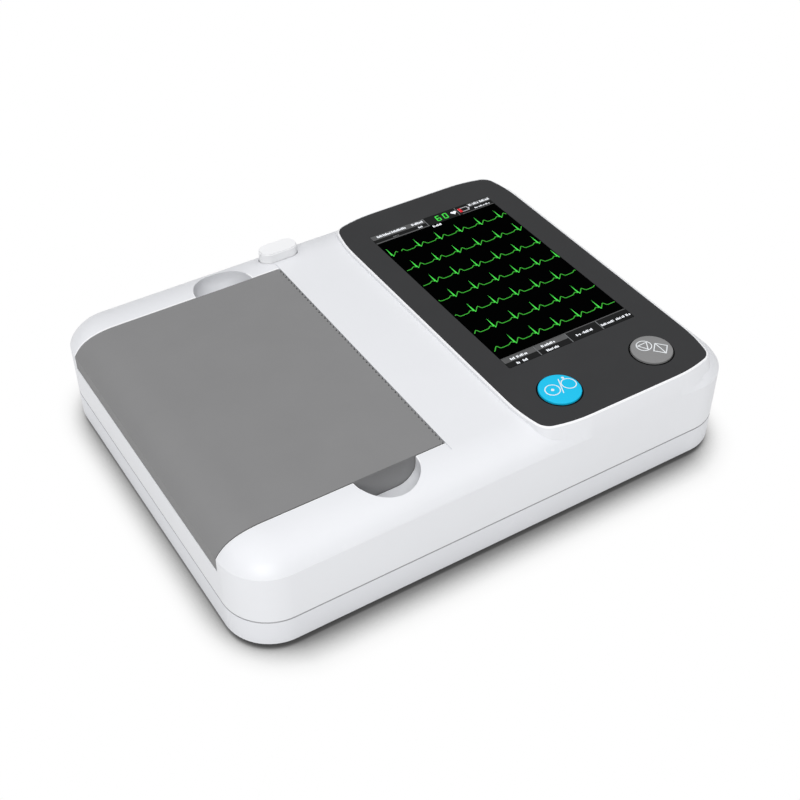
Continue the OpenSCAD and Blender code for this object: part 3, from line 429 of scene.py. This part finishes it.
# Each mark's width in millimetres, and its foot and head as shares of the row's height
MARKS = {"l": (0.3, 0, 1), "o": (0.62, 0, 0.72), "b": (0.62, 0, 1), "-": (0.7, 0.35, 0.6)}
SEGMENTS = {"0": "abcdef", "6": "acdefg"}
LEAN = 0.12


def clipped(points, low, high):
    """The part of a path with x between two values, cut at both ends."""
    run = []
    for (x0, y0), (x1, y1) in zip(points, points[1:]):
        if x1 <= low or x0 >= high:
            continue
        for x in (max(x0, low), min(x1, high)):
            if not run or x > run[-1][0]:
                run.append((x, y0 + (y1 - y0) * (x - x0) / (x1 - x0)))
    return run


def lead(row):
    """One lead's waves and spikes; in row 0 the sweep has wiped a short gap between old and new beats."""
    waves, spikes = [], []
    base = FIRST_ROW - row * ROW_PITCH
    first = FIRST_BEAT + row * BEAT_SHIFT
    spans = [(first, TRACE_LEFT, TRACE_RIGHT)]
    if row == 0:
        old = first - OLD_BEAT
        spans = [(old, old - 0.3 * MM, first - 0.1 * MM), (first, first + SWEEP, TRACE_RIGHT)]
    for start, low, high in spans:
        for k in BEATS:
            spike = start + k * BEAT
            wave = clipped([(spike + x * MM, base + y * MM) for x, y in WAVE], low, high)
            peak = clipped([(spike + x * MM, base + y * MM) for x, y in PEAK], low, high)
            if len(wave) > 1:
                waves += stroke(wave, TRACE_W)
            if len(peak) == len(PEAK):
                spikes += stroke(peak, SPIKE_W)
    return waves, spikes


def greeked(x, y, letters, height):
    """A row of small upright marks that stands for writing without spelling anything; a space is a gap."""
    marks = []
    for place, letter in enumerate(letters):
        if letter in MARKS:
            width, foot, head = MARKS[letter]
            at = x + place * MARK_PITCH
            marks.append(rectangle(at, y + foot * height, at + width * MM, y + head * height))
    return marks


def digit(symbol, x, y, width, height, line):
    """A seven-segment figure leaning a little to the right."""
    half = height / 2
    ends = {
        "a": [(0, height), (width, height)],
        "b": [(width, height), (width, half)],
        "c": [(width, half), (width, 0)],
        "d": [(0, 0), (width, 0)],
        "e": [(0, 0), (0, half)],
        "f": [(0, half), (0, height)],
        "g": [(0, half), (width, half)]}
    bars = [[(x + px + LEAN * py, y + py) for px, py in ends[s]] for s in SEGMENTS[symbol]]
    return [quad for bar in bars for quad in stroke(bar, line)]


def heart(cx, cy, size, steps=36):
    shape = []
    for i in range(steps):
        t = 2 * math.pi * i / steps
        rise = 13 * math.cos(t) - 5 * math.cos(2 * t) - 2 * math.cos(3 * t) - math.cos(4 * t)
        shape.append((cx + size * math.sin(t) ** 3, cy + size * rise / 16))
    return [shape[::-1]]


def draw(name, shapes, colour, level):
    """Lit shapes on the display; a higher level lies over a lower one."""
    slab(name, shapes, glass_high.z + (level - 1) * LAYER, LAYER, PIXELS[colour], "case")


def traces():
    waves, spikes = [], []
    for row in range(ROWS):
        more_waves, more_spikes = lead(row)
        waves += more_waves
        spikes += more_spikes
    draw("lead_waves", waves, "dim_green", 1)
    draw("lead_spikes", spikes, "green", 2)


def status_bars():
    """The header and footer: dark bars, lighter strips, thin dividing lines and rows of marks."""
    left, right, back, front = SCREEN_LEFT, SCREEN_RIGHT, SCREEN_BACK, SCREEN_FRONT
    bar_y = back - TOP_BAR
    low_y = front + LOW_BAR
    quarter = (right - left) / 4
    split_a, split_b = left + 31.8 * MM, left + 51.4 * MM
    strip_y, cell_y = front + 3.5 * MM, low_y - 0.6 * MM
    draw("status_shade", [rectangle(left, bar_y, right, back), rectangle(left, front, right, low_y)],
         "shade", 1)
    draw("status_strips", [
        rectangle(left, back - 3.7 * MM, split_a - 0.3 * MM, back),
        rectangle(split_b + 7.6 * MM, back - 3.3 * MM, right, back - 0.2 * MM),
        rectangle(left, strip_y, left + quarter - 0.3 * MM, cell_y),
        rectangle(left + quarter + 0.3 * MM, strip_y, left + 2 * quarter - 0.3 * MM, cell_y),
        rectangle(left, bar_y, split_a, bar_y + 0.8 * MM),
        rectangle(split_b + 1.0 * MM, bar_y, right, bar_y + 0.5 * MM),
        rectangle(left, low_y - 0.5 * MM, right, low_y)], "strip", 2)
    lines = stroke([(split_a, back), (split_a - 0.25 * MM, bar_y)], 0.35 * MM)
    lines += stroke([(split_b, back), (split_b - 0.8 * MM, bar_y)], 0.35 * MM)
    for k in (1, 2, 3):
        x = left + k * quarter
        lines.append(rectangle(x - 0.2 * MM, front, x + 0.2 * MM, cell_y))
    draw("status_lines", lines, "line", 3)
    marks = []
    for x, y, letters, height in HEADER_MARKS:
        marks += greeked(left + x * MM, back - y * MM, letters, height * MM)
    for x, y, letters, height in FOOTER_MARKS:
        marks += greeked(left + x * MM, front + y * MM, letters, height * MM)
    draw("status_marks", marks, "white", 3)
    draw("status_small_marks", greeked(left + 10.6 * MM, back - 6.0 * MM, "oolo", 0.9 * MM), "line", 3)


def readouts():
    """The heart, the two figures and the battery in the header."""
    left, back = SCREEN_LEFT, SCREEN_BACK
    draw("heart_mark", heart(left + 49.0 * MM, back - 3.4 * MM, 1.65 * MM), "white", 3)
    figures = digit("6", left + 38.0 * MM, back - 5.6 * MM, 2.1 * MM, 4.0 * MM, 0.6 * MM)
    figures += digit("0", left + 42.4 * MM, back - 5.6 * MM, 2.1 * MM, 4.0 * MM, 0.6 * MM)
    draw("rate_figures", figures, "green", 4)
    x0, y0, x1, y1 = left + 52.3 * MM, back - 5.1 * MM, left + 57.8 * MM, back - 2.0 * MM
    battery = stroke(rectangle(x0, y0, x1, y1), 0.35 * MM, closed=True)
    battery.append(rectangle(x1 + 0.3 * MM, y0 + 0.9 * MM, x1 + 0.8 * MM, y1 - 0.9 * MM))
    draw("battery_outline", battery, "frame", 4)
    level = rectangle(x0 - 0.1 * MM, y0 - 0.2 * MM, x0 + 1.5 * MM, y1 + 0.2 * MM)
    draw("battery_level", [level], "red", 5)


traces()
status_bars()
readouts()


# ---- Symbols on the two keys, and a ring of painted shade in the gap round each ----

SYMBOL_LINE = 0.46 * MM
SYMBOL_THICK = 0.08 * MM
SYMBOL_SINK = 0.04 * MM
DOME_RISE = 0.36 * MM
DOME_R = 9.2 * MM
GAP_R = 10.22 * MM
GAP_W = 0.64 * MM
STEPS_PER_LINE = 8


def straight(*ends, closed=False):
    """Lines through the ends, in steps short enough to follow the key's dome."""
    legs = zip(ends, ends[1:] + (ends[:1] if closed else ()))
    steps = [Vector(a).lerp(Vector(b), i / STEPS_PER_LINE) for a, b in legs for i in range(STEPS_PER_LINE)]
    return stroke(steps if closed else steps + [ends[-1]], SYMBOL_LINE, closed=closed)


def start_symbol(at):
    """Two rings, one with a dot in it and one with a dot on it, and a slash between them."""
    return (ring(*at(-3.57, 0.64), 3.4 * MM, SYMBOL_LINE) + disc(*at(-3.57, 0.64), 0.75 * MM)
            + straight(at(-0.64, -3.57), at(3.0, 5.4))
            + ring(*at(5.25, 0.57), 3.4 * MM, SYMBOL_LINE) + disc(*at(5.3, 5.2), 0.65 * MM)
            + stroke([at(5.27, 4.1), at(5.3, 4.7)], SYMBOL_LINE))


def power_symbol(at):
    """A triangle in a ring, and a diamond with a bar down its middle."""
    turns = [math.radians(degrees) for degrees in (0, 120, 240)]
    triangle = [at(-1.86 + 2.9 * math.sin(a), 3.3 - 2.9 * math.cos(a)) for a in turns]
    diamond = [at(-0.5, -2.0), at(3.5, -6.0), at(7.5, -2.0), at(3.5, 2.0)]
    return (ring(*at(-1.86, 3.35), 3.5 * MM, SYMBOL_LINE) + straight(*triangle, closed=True)
            + straight(*diamond, closed=True) + straight(at(3.5, -5.6), at(3.5, 1.6)))


def key_artwork(node, body, symbol):
    low, high = box_of(node)
    middle = (low + high) / 2

    def at(x, y):
        return (middle.x + x * MM, middle.y + y * MM)

    def dome(x, y):
        """Just below the key's slightly domed top."""
        away = math.hypot(x - middle.x, y - middle.y) / DOME_R
        return high.z - DOME_RISE * away ** 2 - SYMBOL_SINK

    slab(node + "_symbol", symbol(at), dome, SYMBOL_THICK, INK, body)
    # A near-black ring on the fascia round the key: painted shade for the gap
    slab(node + "_painted_gap_shade", ring(middle.x, middle.y, GAP_R, GAP_W, steps=64), FASCIA_TOP + 0.01 * MM,
         0.04 * MM, PAINTED_GAP_SHADE, "case")


key_artwork("start_button", "start_key", start_symbol)
key_artwork("power_button", "power_key", power_symbol)


# ---- Room: pale floor, soft studio light, camera ----

SHADOW_REACH = 24 * MM
SHADOW_STOPS = (0.0, 0.42, 0.56, 0.70, 0.85, 0.97)
SHADOW_GREYS = (0.03, 0.08, 0.26, 0.62, 0.93, 1.0)
FAINT_FROM = 105 * MM
FAINT_TO = 150 * MM
FAINT_LIFT = 0.16
FLOOR_HALF = 6.0
SKY_STOPS = (0.0, 0.5, 1.0)
SKY_COLOURS = ((0.0, 0.0, 0.0), (0.38, 0.38, 0.383), (1.5, 1.5, 1.51))
KEY_PLACE = (-1.10, -1.32, 1.365)
KEY_SIZE = 0.9
KEY_POWER = 20.0
CAMERA_PLACE = (-252.8, -412.2, 435.25)
CAMERA_AZIMUTH = math.radians(-32.0)
CAMERA_ELEVATION = math.radians(41.25)
CAMERA_LENS = 59.58
SENSOR_WIDTH = 36.0


def floor_look():
    """A lit white sweep with a painted shadow: it glows evenly, and its glow darkens only where the object
    stands close over it.

    The shadow is fainter past the case's two ends.
    """
    material = bpy.data.materials.new("floor_white")
    material.use_nodes = True
    tree = material.node_tree
    tree.nodes.clear()
    openness = node_in(tree, "ShaderNodeAmbientOcclusion", Distance=SHADOW_REACH, samples=24)
    place = tree.nodes.new("ShaderNodeTexCoord")
    split = tree.nodes.new("ShaderNodeSeparateXYZ")
    from_middle = node_in(tree, "ShaderNodeMath", operation="ABSOLUTE")
    ease = node_in(tree, "ShaderNodeMapRange", **{
        "From Min": FAINT_FROM, "From Max": FAINT_TO, "To Min": 0.0, "To Max": FAINT_LIFT})
    lighter = node_in(tree, "ShaderNodeMath", operation="ADD")
    ramp = colour_ramp(tree, SHADOW_STOPS, [(grey, grey, grey) for grey in SHADOW_GREYS])
    lit = node_in(tree, "ShaderNodeEmission", Strength=1.0)
    out = tree.nodes.new("ShaderNodeOutputMaterial")
    tree.links.new(place.outputs["Object"], split.inputs["Vector"])
    tree.links.new(split.outputs["X"], from_middle.inputs[0])
    tree.links.new(from_middle.outputs["Value"], ease.inputs["Value"])
    tree.links.new(openness.outputs["AO"], lighter.inputs[0])
    tree.links.new(ease.outputs["Result"], lighter.inputs[1])
    tree.links.new(lighter.outputs["Value"], ramp.inputs["Fac"])
    tree.links.new(ramp.outputs["Color"], lit.inputs["Color"])
    tree.links.new(lit.outputs["Emission"], out.inputs["Surface"])
    return material


def floor():
    data = bpy.data.meshes.new("floor")
    corners = rectangle(-FLOOR_HALF, -FLOOR_HALF, FLOOR_HALF, FLOOR_HALF)
    data.from_pydata([(x, y, 0) for x, y in corners], [], [(0, 1, 2, 3)])
    plane = bpy.data.objects.new("floor", data)
    link(plane)
    data.materials.append(floor_look())


def key_light():
    """One large soft light, high in front on the left."""
    light = bpy.data.lights.new("key", "AREA")
    light.shape = "SQUARE"
    light.size = KEY_SIZE
    light.energy = KEY_POWER
    lamp = bpy.data.objects.new("key", light)
    lamp.location = KEY_PLACE
    lamp.rotation_euler = (-Vector(KEY_PLACE)).to_track_quat("-Z", "Y").to_euler()
    link(lamp)


def sky():
    """Soft light from overhead that fades to nothing at the horizon; the camera sees plain white."""
    world = bpy.data.worlds.new("studio")
    world.use_nodes = True
    tree = world.node_tree
    background = tree.nodes["Background"]
    background.inputs["Strength"].default_value = 1.0
    place = tree.nodes.new("ShaderNodeTexCoord")
    split = tree.nodes.new("ShaderNodeSeparateXYZ")
    ramp = colour_ramp(tree, SKY_STOPS, SKY_COLOURS)
    backdrop = node_in(tree, "ShaderNodeBackground", Color=(1.0, 1.0, 1.0, 1.0))
    seen = tree.nodes.new("ShaderNodeLightPath")
    pick = tree.nodes.new("ShaderNodeMixShader")
    tree.links.new(place.outputs["Generated"], split.inputs["Vector"])
    tree.links.new(split.outputs["Z"], ramp.inputs["Fac"])
    tree.links.new(ramp.outputs["Color"], background.inputs["Color"])
    tree.links.new(seen.outputs["Is Camera Ray"], pick.inputs["Fac"])
    tree.links.new(background.outputs["Background"], pick.inputs[1])
    tree.links.new(backdrop.outputs["Background"], pick.inputs[2])
    tree.links.new(pick.outputs["Shader"], tree.nodes["World Output"].inputs["Surface"])
    bpy.context.scene.world = world


def camera():
    data = bpy.data.cameras.new("camera")
    data.lens = CAMERA_LENS
    data.sensor_width = SENSOR_WIDTH
    view = bpy.data.objects.new("camera", data)
    view.location = Vector(CAMERA_PLACE) * MM
    level = math.cos(CAMERA_ELEVATION)
    forward = Vector((-math.sin(CAMERA_AZIMUTH) * level, math.cos(CAMERA_AZIMUTH) * level,
                      -math.sin(CAMERA_ELEVATION)))
    view.rotation_euler = forward.to_track_quat("-Z", "Y").to_euler()
    link(view)
    bpy.context.scene.camera = view


floor()
sky()
key_light()
camera()
bpy.context.scene.view_settings.view_transform = "Standard"
